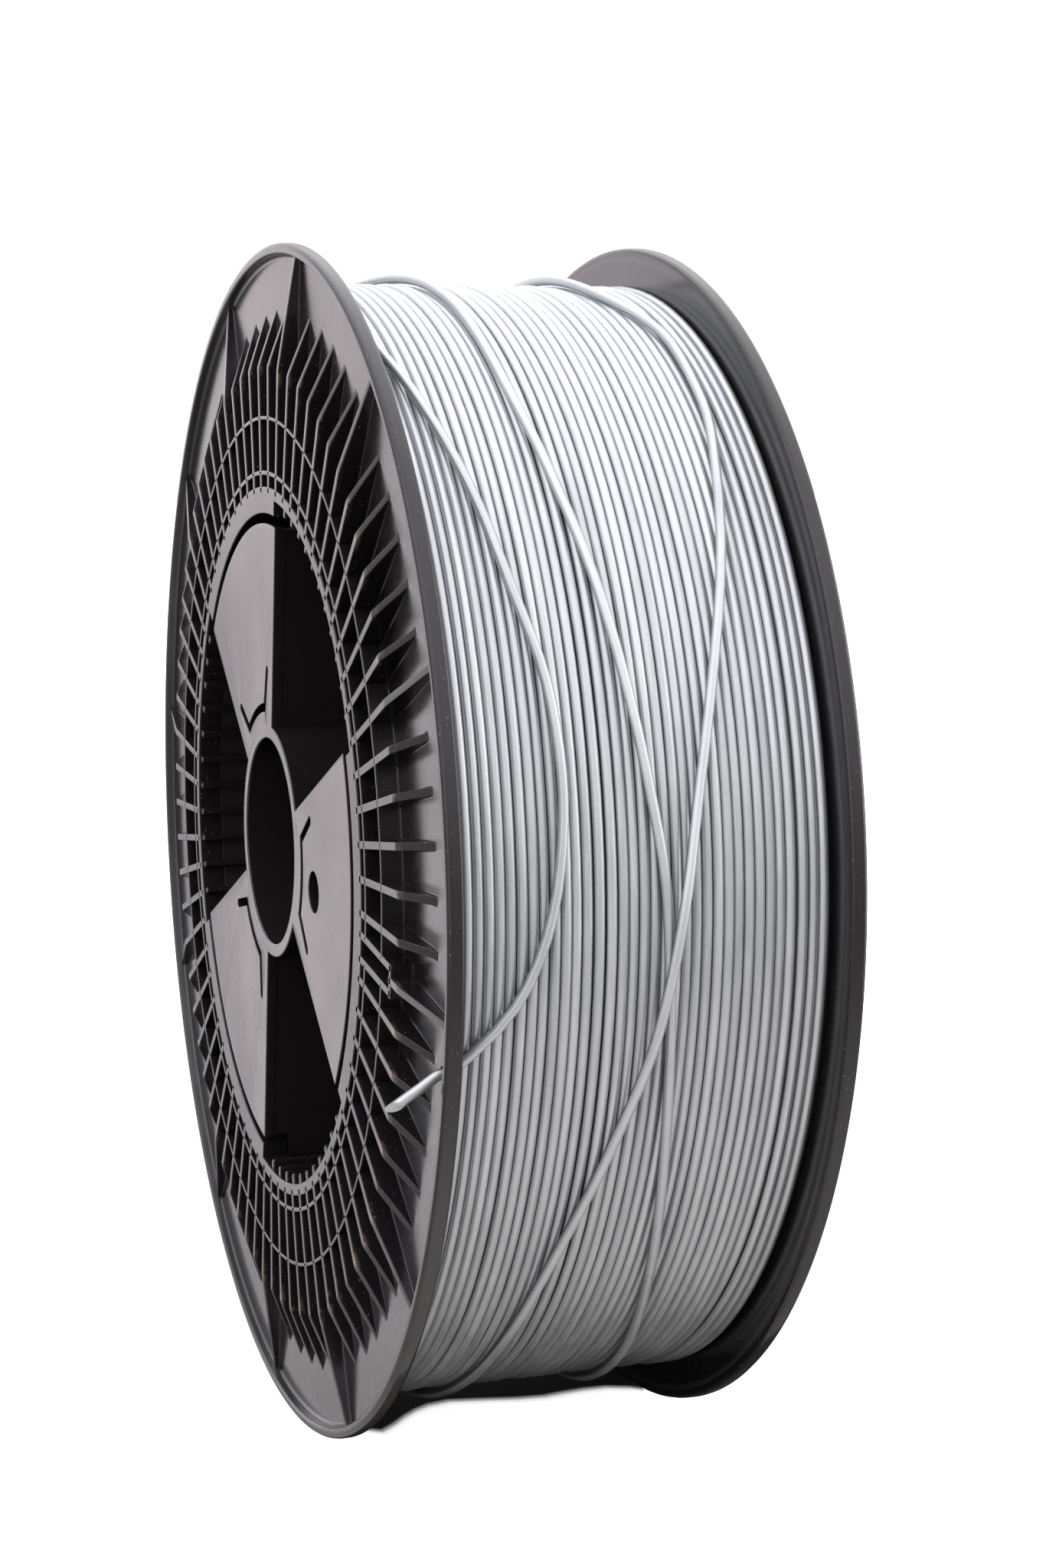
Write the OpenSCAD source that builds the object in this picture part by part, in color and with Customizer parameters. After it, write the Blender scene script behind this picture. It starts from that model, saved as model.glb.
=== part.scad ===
// Large filament spool, wound full, lying on its side axis:
// the spindle axis is Y, the near flange is at -Y, and the spool stands on its two rims.
// Origin: centre of the spindle bore, half way between the flanges. Millimetres, +Z up.

/* [Flanges] */
// Outer diameter of both flanges
flange_d = 300; // [290:1:320]
// Distance between the outer faces of the two rims
rim_span = 95; // [88:0.5:100]
// Thickness of the rim along the spindle
rim_t = 4; // [3.5:0.1:5]
// Chamfer on the corners of the rim
rim_chamfer = 0.8; // [0.4:0.1:1.2]
// Radial width of the raised lip
lip_w = 2.6; // [2:0.1:4]
// Thickness of the flange disc
disc_t = 1.5; // [1.2:0.1:2]

/* [Ribs] */
// Number of ribs on each flange
rib_count = 72; // [72:36:144]
// Every so many ribs, one runs out to the lip
long_rib_every = 6; // [3:3:6]
// Thickness of a rib
rib_w = 2; // [1.4:0.1:2.4]
// Height of the ribs and rings over the disc
rib_h = 5; // [4:0.1:6]
// Radial length of the sloping end of a rib
rib_slope = 14; // [8:0.5:18]
// Width of the bare strip between the short ribs and the lip
bare_strip = 13.4; // [12:0.2:16]
// Height over the disc of the long ribs where they meet the lip
long_rib_end_h = 1; // [0.4:0.1:1.5]

/* [Rings] */
// Distance of the first ring outside the drum
ring_a_offset = 3.4; // [3:0.1:6]
// Wall of the first ring
ring_a_w = 1.2; // [0.8:0.1:1.6]
// Distance of the second ring outside the drum
ring_b_offset = 17.1; // [12:0.1:20]
// Wall of the second ring
ring_b_w = 1; // [0.8:0.1:1.6]

/* [Fork in the ribs] */
// Distance between the centre lines of the two parallel ribs
fork_gap = 5.8; // [5:0.1:7]
// Distance of the closing bar outside the drum
fork_len = 25; // [22:0.5:27]
// Thickness of the closing bar
fork_bar_t = 1.8; // [1.4:0.1:2.2]

/* [Drum] */
// Outer diameter of the drum that the filament is wound on
drum_d = 180; // [170:1:186]
// Wall of the drum
drum_wall = 3; // [2.4:0.1:4]
// Height of the fins inside the drum
fin_h = 2.5; // [1.5:0.1:3.5]
// Thickness of the fins
fin_w = 1.6; // [1.2:0.1:2]
// Length of the fins along the drum, from the flange
fin_len = 22; // [10:1:30]
// Depth of the fins' ends below the outer plane
fin_recess = 0.5; // [0.3:0.1:1]

/* [Hub] */
// Diameter of the spindle bore
bore_d = 52.5; // [50.5:0.1:53]
// Wall of the hub tube
hub_wall = 3.2; // [2.6:0.1:4]
// How far the hub collar reaches past the edge walls
collar_tail = 1.5; // [1:0.5:4]
// Thickness of the three sector plates
plate_t = 2.5; // [2:0.1:3]
// Angle covered by each sector plate
plate_angle = 60; // [50:5:60]
// Angle of the middle of the first sector plate
plate_mid = -7;
// Wall of the edge walls under the plates
edge_wall_t = 2; // [1.6:0.1:2.6]
// Depth of the edge walls
edge_wall_h = 22; // [12:1:30]
// Distance of the edge walls from the plate's edge
edge_inset = 0.4; // [0.3:0.1:1]
// Radial depth of the pads that face the plates
pad_w = 3.8; // [3:0.1:5]
// Open slot between a plate and its pad
plate_slot = 2.4; // [2:0.1:3]

/* [Hub details] */
// Diameter of the driving hole
drive_d = 10; // [8:0.5:12]
// Distance of the driving hole from the axis
drive_r = 46; // [44:0.5:48]
// Width of the U-shaped cut in each plate
tongue_cut = 2.1; // [1.6:0.1:2.6]
// Radius of the curved part of the cut
tongue_r = 34.1; // [33.5:0.1:36]
// Radius where the cut's legs end
tongue_leg_r = 43.7; // [41:0.1:46]
// Half angle of the curved part
tongue_half = 17.5; // [15:0.5:18]
// Half angle where the legs end
tongue_leg_half = 22; // [20:0.5:23]

/* [Filament] */
// Diameter of the filament
strand_d = 2.5; // [1.75:0.05:3]
// Free height of the flanges above the winding
free_h = 9.5; // [8:0.5:14]
// Turns of the outer layer
layer_turns = 21; // [12:1:21]
// Bare space left beside the near flange, up to the strand's centre line
layer_start_gap = 5; // [4.5:0.5:8]
// Distance of the tail hole from the rim
tail_hole_in = 10; // [9:0.1:11]
// Angle of the tail hole
tail_angle = -12.2;
// Clearance round the tail in its hole
tail_clear = 0.45; // [0.3:0.05:0.8]
// How far the tail stands out of the disc before it bends
tail_out = 2.5; // [2:0.1:4]

/* [Hidden] */
$fn = 180;

// Running clearance between pieces that don't bear on each other
fit_gap = 0.3;
// Gap between strands that cross
strand_gap = 0.5;
// Depth that a rib or bar is rooted in the wall behind it
root = 0.6;
// How far the rib outside the fork passes through the fork's bar
through = 0.3;
// Height of the undersides of pads and fins above the flange's inner face
pad_lift = 0.2;
// Overlap of cutting shapes
over = 2;

// Levels along the axis, measured from the middle of the spool
rim_face = rim_span / 2;
inner_face = rim_face - rim_t;
disc_face = inner_face + disc_t;
top_face = disc_face + rib_h;

// Radii
flange_r = flange_d / 2;
lip_r = flange_r - lip_w;
rib_end_r = lip_r - bare_strip;
kink_r = rib_end_r - rib_slope;
drum_r = drum_d / 2;
drum_in_r = drum_r - drum_wall;
rib_start_r = drum_r - drum_wall / 2;
fork_end_r = drum_r + fork_len;
fin_r = drum_in_r - fin_h;
pad_r = drum_in_r - pad_w;
plate_r = pad_r - plate_slot;
bore_r = bore_d / 2;
hub_r = bore_r + hub_wall;
collar_len = plate_t + edge_wall_h + collar_tail;

// Angles
rib_step = 360 / rib_count;
sector_step = 120;
window_angle = sector_step - plate_angle;
fins_per_window = floor(window_angle / rib_step - 0.5);
// The pads' ends are cut back at a slant
pad_slant = 2;

// Winding: rings per loop, radius of the layer and of the strands on top of it
loop_rings = 24;
strand_sides = 6;
strand_r = strand_d / 2;
winding_r = flange_r - free_h;
layer_r = winding_r - strand_r;
level_rise = strand_d + strand_gap;
core_r = layer_r * cos(180 / loop_rings) - strand_r - fit_gap;
core_face = inner_face - fit_gap;
layer_far = inner_face - strand_r - fit_gap;
layer_near = -inner_face + layer_start_gap;
wind_start = 180;
tail_hole_r = flange_r - tail_hole_in;

// The last turns wander over the layer. Each pair is the angle wound since the layer's end
// and the distance from the near flange's inner face.
wander = [[0, layer_start_gap], [45, layer_start_gap - 0.5], [105, 29], [120, 30], [135, 33],
          [150, 38.5], [165, 43.5], [180, 48],
          [195, 50], [210, 53], [225, 56.5], [240, 60.5], [270, 64], [360, 65], [450, 66.5],
          [465, 69.5], [480, 76.5], [495, 74], [510, 66.5], [525, 57.5], [540, 50], [555, 42.5],
          [570, 32.5], [585, 26.5], [600, 24], [660, 17], [720, 9], [780, 4], [825, 3],
          [840, 4], [855, 12], [870, 19], [885, 24.5], [900, 20]];
// Level of the strand over the layer: 1 lies on the layer, 2 on a crossing strand
levels = [[0, 0], [45, 1], [525, 1], [540, 2], [555, 2], [570, 1], [735, 1], [750, 1.8], [765, 2],
          [780, 2], [795, 1], [900, 1]];
// The way down to the tail hole: angle wound, distance from the flange, height over the hole
dive = [[905, 15, 2.2], [909, 8.5, 2.2], [911.2, 5, 1.7], [912.2, 2.6, 0.7]];
// Where the tail's tip stands, seen from the point where it leaves the hole
tail_tip = [0, -8.5, -7.5];

spool_black = [0.07, 0.07, 0.08];
filament_silver = [0.78, 0.79, 0.8];
core_silver = [0.6, 0.61, 0.63];

// ---- shared shapes, drawn with the spindle along Z and the outer face up ----

// Ribs, rings, pads, plates and fins are drawn past the flat planes they end in, and one slab
// trims them all there.
module slab(z1, z2) {
    translate([0, 0, z1]) cylinder(r = flange_r + over, h = z2 - z1);
}

module rib_profile(r1, r2, h_end) {
    // The slope runs from full height at the kink down to h_end at r2. A rib that starts
    // beyond the kink is all slope.
    run = (r2 - kink_r) / (rib_h - h_end);
    foot = disc_face - root;
    crest = kink_r - over * run;
    start = r1 < crest ? [[crest, top_face + over], [r1, top_face + over]]
                       : [[r1, top_face - (r1 - kink_r) / run]];
    polygon(concat([[r1, foot], [h_end > 0 ? r2 : r2 + root * run, foot],
                    [r2, disc_face + h_end]], start));
}

module rib(angle, r1, r2, h_end) {
    rotate([0, 0, angle]) rotate([90, 0, 0]) linear_extrude(rib_w, center = true)
        rib_profile(r1, r2, h_end);
}

module short_rib(angle) {
    rib(angle, rib_start_r, rib_end_r, 0);
}

module long_rib(angle, r1) {
    rib(angle, r1, lip_r + root, long_rib_end_h);
}

module ring_wall(r, wall) {
    translate([0, 0, disc_face - root]) difference() {
        cylinder(r = r + wall / 2, h = rib_h + root + over);
        translate([0, 0, -over]) cylinder(r = r - wall / 2, h = rib_h + root + 3 * over);
    }
}

module wedge(angle, width, r, z1, z2) {
    // A slice as wide as the given angle, under 180 degrees, between two levels
    translate([0, 0, z1]) linear_extrude(z2 - z1)
        polygon([[0, 0],
                 [r * cos(angle - width / 2), r * sin(angle - width / 2)],
                 [r / cos(width / 2) * cos(angle), r / cos(width / 2) * sin(angle)],
                 [r * cos(angle + width / 2), r * sin(angle + width / 2)]]);
}

module flange_section() {
    polygon([[drum_in_r, inner_face], [flange_r - rim_chamfer, inner_face],
             [flange_r, inner_face + rim_chamfer], [flange_r, rim_face - rim_chamfer],
             [flange_r - rim_chamfer, rim_face], [lip_r, rim_face], [lip_r, disc_face],
             [drum_r, disc_face], [drum_r, top_face], [drum_in_r, top_face]]);
}

module fork_channel() {
    // The space between the two parallel ribs, kept free of the rings
    rotate([0, 0, plate_mid]) translate([drum_r, -fork_gap / 2, disc_face - root - over])
        cube([fork_len - fork_bar_t / 2, fork_gap, rib_h + root + 3 * over]);
}

module fork() {
    half = (fork_gap + rib_w) / 2;
    foot = disc_face - root / 2;
    rotate([0, 0, plate_mid]) translate([0, 0, foot]) linear_extrude(top_face + over / 2 - foot)
        difference() {
            translate([rib_start_r, -half]) square([fork_end_r - rib_start_r, 2 * half]);
            translate([rib_start_r - over, rib_w - half])
                square([fork_end_r - fork_bar_t - rib_start_r + over, 2 * (half - rib_w)]);
        }
}

module ribs() {
    for (i = [0 : rib_count - 1]) {
        angle = plate_mid + i * rib_step;
        if (i % long_rib_every != 0)
            short_rib(angle);
        else if (i == 0)
            long_rib(angle, fork_end_r - fork_bar_t - through);
        else
            long_rib(angle, rib_start_r);
    }
    fork();
}

module pad(angle) {
    low = inner_face + pad_lift;
    high = top_face + over;
    intersection() {
        translate([0, 0, low]) difference() {
            cylinder(r = rib_start_r, h = high - low);
            translate([0, 0, -over]) cylinder(r = pad_r, h = high - low + 2 * over);
        }
        wedge(angle, plate_angle - pad_slant, flange_r, low - over, high + over);
    }
}

module fin(angle, z1, z2) {
    rotate([0, 0, angle]) translate([fin_r, -fin_w / 2, z1])
        cube([rib_start_r - fin_r, fin_w, z2 - z1]);
}

module window_fins(z1, z2) {
    for (s = [0 : 2], k = [1 : fins_per_window])
        fin(plate_mid + plate_angle / 2 + s * sector_step + k * rib_step, z1, z2);
}

module flange_shape() {
    rotate_extrude() flange_section();
    difference() {
        union() {
            difference() {
                union() {
                    ring_wall(drum_r + ring_a_offset, ring_a_w);
                    ring_wall(drum_r + ring_b_offset, ring_b_w);
                }
                fork_channel();
            }
            ribs();
            for (s = [0 : 2]) pad(plate_mid + s * sector_step);
        }
        slab(top_face, top_face + 3 * over);
    }
    window_fins(inner_face + pad_lift, top_face - fin_recess);
}

module drum_half_shape() {
    intersection() {
        union() {
            difference() {
                translate([0, 0, -over]) cylinder(r = drum_r, h = inner_face + 2 * over);
                translate([0, 0, -2 * over]) cylinder(r = drum_in_r, h = inner_face + 4 * over);
            }
            window_fins(inner_face - fin_len, inner_face + over);
        }
        slab(0, inner_face);
    }
}

module tongue_leg(side) {
    // One splayed leg of the U-shaped cut, from its knee to its tip, with round ends
    knee = tongue_r * [cos(tongue_half), side * sin(tongue_half)];
    tip = tongue_leg_r * [cos(tongue_leg_half), side * sin(tongue_leg_half)];
    run = tip - knee;
    translate(knee) circle(d = tongue_cut);
    translate(tip) circle(d = tongue_cut);
    translate(knee) rotate(atan2(run[1], run[0]))
        translate([0, -tongue_cut / 2]) square([norm(run), tongue_cut]);
}

module tongue_outline() {
    // Sector in which the curved part of the cut lies
    reach = tongue_r + tongue_cut;
    intersection() {
        difference() {
            circle(r = tongue_r + tongue_cut / 2);
            circle(r = tongue_r - tongue_cut / 2);
        }
        polygon([[0, 0], [reach, -reach * tan(tongue_half)], [reach, reach * tan(tongue_half)]]);
    }
    for (side = [-1, 1]) tongue_leg(side);
}

module sector_plate() {
    // Lies along +X; its edges are radial lines
    edge = plate_angle / 2;
    translate([0, 0, top_face - plate_t]) linear_extrude(plate_t + over) difference() {
        intersection() {
            difference() {
                circle(r = plate_r);
                circle(r = (bore_r + hub_r) / 2);
            }
            polygon([[0, 0], [flange_r * cos(edge), -flange_r * sin(edge)],
                     [flange_r / cos(edge), 0], [flange_r * cos(edge), flange_r * sin(edge)]]);
        }
        tongue_outline();
    }
}

module edge_wall(side) {
    // Stands under a radial edge of the plate; its toe reaches the drum behind the pad
    toe_face = inner_face - fit_gap;
    toe_r = drum_in_r - fit_gap;
    wall_r = plate_r - edge_inset;
    foot = top_face - plate_t - edge_wall_h;
    head = top_face - plate_t / 2;
    middle = -side * (edge_inset + edge_wall_t / 2);
    rotate([0, 0, side * plate_angle / 2]) translate([0, middle, 0])
        rotate([90, 0, 0]) linear_extrude(edge_wall_t, center = true)
            polygon([[hub_r - root, foot], [toe_r, foot], [toe_r, toe_face], [wall_r, toe_face],
                     [wall_r, head], [hub_r - root, head]]);
}

module hub_web_shape() {
    low = top_face - collar_len;
    difference() {
        intersection() {
            union() {
                translate([0, 0, low]) cylinder(r = hub_r, h = collar_len + over);
                for (s = [0 : 2]) rotate([0, 0, plate_mid + s * sector_step]) {
                    sector_plate();
                    for (side = [-1, 1]) edge_wall(side);
                }
            }
            slab(low - over, top_face);
        }
        translate([0, 0, low - over]) cylinder(r = bore_r, h = collar_len + 2 * over);
        rotate([0, 0, plate_mid]) translate([drive_r, 0, top_face - plate_t - over])
            cylinder(d = drive_d, h = plate_t + 2 * over);
    }
}

// ---- the strand of filament ----

function on_spool(angle, r, y) = [r * cos(angle), y, r * sin(angle)];
function unit(v) = v / norm(v);

layer_points = [for (i = [0 : layer_turns * loop_rings - 1])
    on_spool(wind_start - i * 360 / loop_rings, layer_r,
             layer_far + (layer_near - layer_far) * i / (layer_turns * loop_rings))];

wander_points = [for (i = [0 : 60]) let (wound = i * 360 / loop_rings)
    on_spool(wind_start - wound, layer_r + level_rise * lookup(wound, levels),
             lookup(wound, wander) - inner_face)];

dive_points = [for (p = dive) on_spool(wind_start - p[0], tail_hole_r + p[2], p[1] - inner_face)];

hole_point = on_spool(tail_angle, tail_hole_r, -disc_face);
tail_points = [hole_point + [0, disc_t + strand_r, 0], hole_point - [0, tail_out, 0],
               hole_point - [0, tail_out, 0] + 0.3 * tail_tip + [0, -0.3, 0.3],
               hole_point - [0, tail_out, 0] + tail_tip];

strand = concat(layer_points, wander_points, dive_points, tail_points);
strand_n = len(strand);

// Least gap between two stretches of the strand that lie more than a quarter loop apart
least_gap = min([for (i = [0 : strand_n - 1], j = [i + 6 : 1 : strand_n - 1])
    norm(strand[i] - strand[j])]) - strand_d;
echo(least_gap_mm = least_gap);

function strand_ring(i) = let (
    along = unit(strand[min(i + 1, strand_n - 1)] - strand[max(i - 1, 0)]),
    out = unit([strand[i][0], 0, strand[i][2]]),
    side = unit(cross(along, out)),
    up = cross(side, along))
    [for (k = [0 : strand_sides - 1])
        strand[i] + strand_r * (cos(k * 360 / strand_sides) * up + sin(k * 360 / strand_sides) * side)];

strand_skin = [for (i = [0 : strand_n - 1]) each strand_ring(i)];
function skin_index(i, k) = i * strand_sides + k % strand_sides;

strand_faces = concat(
    [for (k = [1 : strand_sides - 2]) [0, k + 1, k]],
    [for (k = [1 : strand_sides - 2])
        [skin_index(strand_n - 1, 0), skin_index(strand_n - 1, k), skin_index(strand_n - 1, k + 1)]],
    [for (i = [0 : strand_n - 2], k = [0 : strand_sides - 1])
        [skin_index(i, k), skin_index(i, k + 1), skin_index(i + 1, k)]],
    [for (i = [0 : strand_n - 2], k = [0 : strand_sides - 1])
        [skin_index(i, k + 1), skin_index(i + 1, k + 1), skin_index(i + 1, k)]]);

// ---- the pieces, in their places ----

// Turns a shape drawn face up so that its outer face looks along -Y
module near_side() {
    rotate([90, 0, 0]) children();
}

// The same shape turned round to face +Y, with its plates in line with the near side's
module far_side() {
    rotate([-90, 0, 0]) rotate([0, 0, -2 * plate_mid]) children();
}

module near_flange() {
    color(spool_black) near_side() difference() {
        flange_shape();
        rotate([0, 0, tail_angle]) translate([tail_hole_r, 0, inner_face - over])
            cylinder(r = strand_r + tail_clear, h = disc_t + 2 * over);
    }
}

module far_flange() {
    color(spool_black) far_side() flange_shape();
}

module near_drum_half() {
    color(spool_black) near_side() drum_half_shape();
}

module far_drum_half() {
    color(spool_black) far_side() drum_half_shape();
}

module near_hub_web() {
    color(spool_black) near_side() hub_web_shape();
}

module far_hub_web() {
    color(spool_black) far_side() hub_web_shape();
}

module hub_sleeve() {
    sleeve_half = top_face - collar_len;
    color(spool_black) near_side() difference() {
        translate([0, 0, -sleeve_half]) cylinder(r = hub_r, h = 2 * sleeve_half);
        translate([0, 0, -sleeve_half - over]) cylinder(r = bore_r, h = 2 * (sleeve_half + over));
    }
}

module winding_core() {
    color(core_silver) near_side() difference() {
        translate([0, 0, -core_face]) cylinder(r = core_r, h = 2 * core_face);
        translate([0, 0, -core_face - over])
            cylinder(r = drum_r + fit_gap, h = 2 * (core_face + over));
    }
}

module filament() {
    color(filament_silver) polyhedron(strand_skin, strand_faces, convexity = 10);
}

near_flange();
far_flange();
near_drum_half();
far_drum_half();
near_hub_web();
far_hub_web();
hub_sleeve();
winding_core();
filament();
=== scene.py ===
import bisect
import functools
import math
import random

import bmesh
import bpy
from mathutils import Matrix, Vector


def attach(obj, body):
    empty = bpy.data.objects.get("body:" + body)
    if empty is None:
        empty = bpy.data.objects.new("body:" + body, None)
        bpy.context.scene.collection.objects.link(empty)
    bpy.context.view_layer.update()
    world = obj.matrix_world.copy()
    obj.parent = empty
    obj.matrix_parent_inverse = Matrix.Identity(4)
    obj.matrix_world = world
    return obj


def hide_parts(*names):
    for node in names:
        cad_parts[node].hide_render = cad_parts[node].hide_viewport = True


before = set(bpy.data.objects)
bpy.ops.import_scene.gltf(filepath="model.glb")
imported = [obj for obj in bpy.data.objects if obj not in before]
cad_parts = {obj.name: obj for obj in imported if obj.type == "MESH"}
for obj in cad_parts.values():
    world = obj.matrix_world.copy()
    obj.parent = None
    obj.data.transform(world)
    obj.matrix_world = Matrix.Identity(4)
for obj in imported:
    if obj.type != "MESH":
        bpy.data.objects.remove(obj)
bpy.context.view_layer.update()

# ---- the camera, from the photograph's viewing angle ----

camera_data = bpy.data.cameras.new("camera")
camera_data.lens = 65.506
camera_data.sensor_width = 36
camera_data.sensor_height = 36
camera_data.sensor_fit = "VERTICAL"
camera_data.clip_start = 0.01
camera = bpy.data.objects.new("camera", camera_data)
bpy.context.scene.collection.objects.link(camera)
camera.location = (0.70312, -0.21364, 0.11431)
aim = Vector((0, 0.01810, 0.01172)) - camera.location
camera.rotation_euler = aim.to_track_quat("-Z", "Y").to_euler()
bpy.context.scene.camera = camera
bpy.context.scene.view_settings.view_transform = "Standard"

# ---- sizes in mm and degrees, as in the part's source but for the two that say otherwise ----

MM = 0.001

FLANGE_R = 150
RIM_FACE = 47.5
INNER_FACE = 43.5
DISC_FACE = 45
TOP_FACE = 50
RIB_H = TOP_FACE - DISC_FACE
LIP_R = 147.4
RIB_END_R = 134
KINK_R = 120
RIB_W = 2
RIB_COUNT = 72
LONG_RIB_EVERY = 6
LONG_RIB_END_H = 1.1  # 0.1 higher than in the source
DRUM_R = 90
DRUM_IN_R = 87
RIB_START_R = 88.5
RING_A = (93.4, 1.2)
RING_B = (107.1, 1.0)
FORK_GAP = 5.8
FORK_END_R = 115
FORK_BAR = 1.8
FIN_R = 84.5
FIN_W = 1.6
FIN_LEN = 22
FIN_STEP = 5
PAD_R = 83.2
PLATE_R = 80.8
PLATE_T = 2.5
PLATE_MID = -7
PLATE_HALF = 30
SECTOR = 120
BORE_R = 26.25
HUB_R = 29.45
COLLAR_LEN = 26
WALL_H = 22
WALL_T = 2
WALL_INSET = 0.4
DRIVE_R = 46
DRIVE_D = 10
CUT_W = 2.1
CUT_R = 34.1
CUT_HALF = 17.5
CUT_TIP_R = 43.7
CUT_TIP_HALF = 22
STRAND_R = 1.2  # 0.05 less than in the source, which leaves room for open gaps
LAYER_R = 139.25
HOLE_R = 140
HOLE_ANGLE = -12.2
HOLE_D = 3.4

# Edges bent by more than these angles are drawn sharp
SHARP_ANGLE = math.radians(35)
STRAND_SHARP_ANGLE = math.radians(50)
# Points closer than this, in metres, are merged
WELD = 1e-7
# The strand's UVs: u per mm of its length, and v once around it
UV_NAME = "along"
UV_LENGTH = 0.004
UV_GIRTH = 0.25


# ---- mesh helpers; shapes are drawn in mm with the spindle along z and the outer face up ----

def near_side(p):
    """Stands a drawn point up on the near side."""
    return (p[0], -p[2], p[1])


def far_side(p):
    """The same moulding turned half round, with its plates behind the near ones."""
    turn = math.radians(-2 * PLATE_MID)
    c, s = math.cos(turn), math.sin(turn)
    return (c * p[0] - s * p[1], p[2], -(s * p[0] + c * p[1]))


SIDES = (("near", near_side), ("far", far_side))


def polar(r, angle):
    """The point at a radius and an angle in degrees."""
    return (r * math.cos(math.radians(angle)), r * math.sin(math.radians(angle)))


class Shape:
    """Vertices and faces gathered from several forms."""

    def __init__(self):
        self.verts = []
        self.faces = []

    def add(self, verts, faces):
        base = len(self.verts)
        self.verts += verts
        self.faces += [tuple(base + i for i in f) for f in faces]

    def loft(self, rings, wrap=False):
        """Skin through rings of as many points each; its ends are closed unless it wraps."""
        n, m = len(rings[0]), len(rings)
        verts = [p for ring in rings for p in ring]
        faces = []
        for i in range(m if wrap else m - 1):
            j = (i + 1) % m
            faces += [(i * n + k, i * n + (k + 1) % n, j * n + (k + 1) % n, j * n + k)
                      for k in range(n)]
        if not wrap:
            faces += [tuple(range(n - 1, -1, -1)), tuple((m - 1) * n + k for k in range(n))]
        self.add(verts, faces)

    def lathe(self, outline, steps, start=0.0, end=360.0):
        """Turns a closed outline of (radius, height) about z."""
        full = end - start >= 360
        rings = []
        for i in range(steps if full else steps + 1):
            a = math.radians(start + (end - start) * i / steps)
            rings.append([(r * math.cos(a), r * math.sin(a), h) for r, h in outline])
        self.loft(rings, wrap=full)

    def turned(self, angle, offset=(0, 0)):
        """A copy turned about z by an angle in degrees, then moved sideways."""
        a = math.radians(angle)
        c, s = math.cos(a), math.sin(a)
        new = Shape()
        new.add([(c * x - s * y + offset[0], s * x + c * y + offset[1], z)
                 for x, y, z in self.verts], self.faces)
        return new

    def join(self, other):
        self.add(other.verts, other.faces)


def rounded(corners, steps):
    """A closed outline whose corners (x, y, radius) are replaced by arcs."""
    out = []
    for i, (x, y, r) in enumerate(corners):
        if r <= 0:
            out.append((x, y))
            continue
        p = Vector((x, y))
        a = (Vector(corners[i - 1][:2]) - p).normalized()
        b = (Vector(corners[(i + 1) % len(corners)][:2]) - p).normalized()
        half = a.angle(b) / 2
        centre = p + (a + b).normalized() * (r / math.sin(half))
        first = p + a * (r / math.tan(half)) - centre
        last = p + b * (r / math.tan(half)) - centre
        a0 = math.atan2(first.y, first.x)
        sweep = (math.atan2(last.y, last.x) - a0 + math.pi) % (2 * math.pi) - math.pi
        for k in range(steps + 1):
            t = a0 + sweep * k / steps
            out.append((centre.x + r * math.cos(t), centre.y + r * math.sin(t)))
    return out


def link(name, data):
    """A new object in the scene."""
    piece = bpy.data.objects.new(name, data)
    bpy.context.scene.collection.objects.link(piece)
    return piece


def evaluated_mesh(piece):
    graph = bpy.context.evaluated_depsgraph_get()
    return bpy.data.meshes.new_from_object(piece.evaluated_get(graph))


def apply_modifiers(piece):
    mesh = evaluated_mesh(piece)
    piece.modifiers.clear()
    old = piece.data
    piece.data = mesh
    bpy.data.meshes.remove(old)


def set_normals(piece):
    """Marks the sharp edges and weights the other normals by the size of their faces."""
    piece.data.set_sharp_from_angle(angle=SHARP_ANGLE)
    piece.modifiers.new("normals", "WEIGHTED_NORMAL").keep_sharp = True
    apply_modifiers(piece)


def declare(piece, nodes):
    """What a piece rides on and the CAD nodes that it replaces."""
    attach(piece, "root")
    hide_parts(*nodes)


def welded_mesh(name, shape, place, weld=WELD):
    """A mesh from a shape, with its double points merged and its normals outward."""
    mesh = bpy.data.meshes.new(name)
    mesh.from_pydata([Vector(place(p)) * MM for p in shape.verts], [], shape.faces)
    work = bmesh.new()
    work.from_mesh(mesh)
    bmesh.ops.remove_doubles(work, verts=work.verts, dist=weld)
    bmesh.ops.recalc_face_normals(work, faces=work.faces)
    work.to_mesh(mesh)
    work.free()
    return mesh


def make(name, shape, place, mat, nodes):
    """One Blender object from a shape, riding on the root body."""
    mesh = welded_mesh(name, shape, place)
    mesh.materials.append(mat)
    piece = link(name, mesh)
    set_normals(piece)
    declare(piece, nodes)
    return piece


def filled(loops, low, high, edge):
    """A flat plate with holes between two heights, its outer edges rounded."""
    curve = bpy.data.curves.new("outline", "CURVE")
    curve.dimensions = "2D"
    curve.fill_mode = "BOTH"
    curve.extrude = (high - low) / 2 - edge
    curve.bevel_depth = edge
    curve.bevel_resolution = 1
    curve.offset = -edge
    for loop in loops:
        spline = curve.splines.new("POLY")
        spline.points.add(len(loop) - 1)
        for point, (x, y) in zip(spline.points, loop):
            point.co = (x, y, 0, 1)
        spline.use_cyclic_u = True
    holder = link("outline", curve)
    mesh = evaluated_mesh(holder)
    middle = (low + high) / 2
    shape = Shape()
    shape.add([(v.co.x, v.co.y, v.co.z + middle) for v in mesh.vertices],
              [tuple(p.vertices) for p in mesh.polygons])
    bpy.data.objects.remove(holder)
    bpy.data.curves.remove(curve)
    bpy.data.meshes.remove(mesh)
    return shape


# ---- material helpers ----

def mm(*values):
    """Millimetres as metres."""
    return tuple(v * MM for v in values)


def principled(mat):
    return mat.node_tree.nodes["Principled BSDF"]


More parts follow.
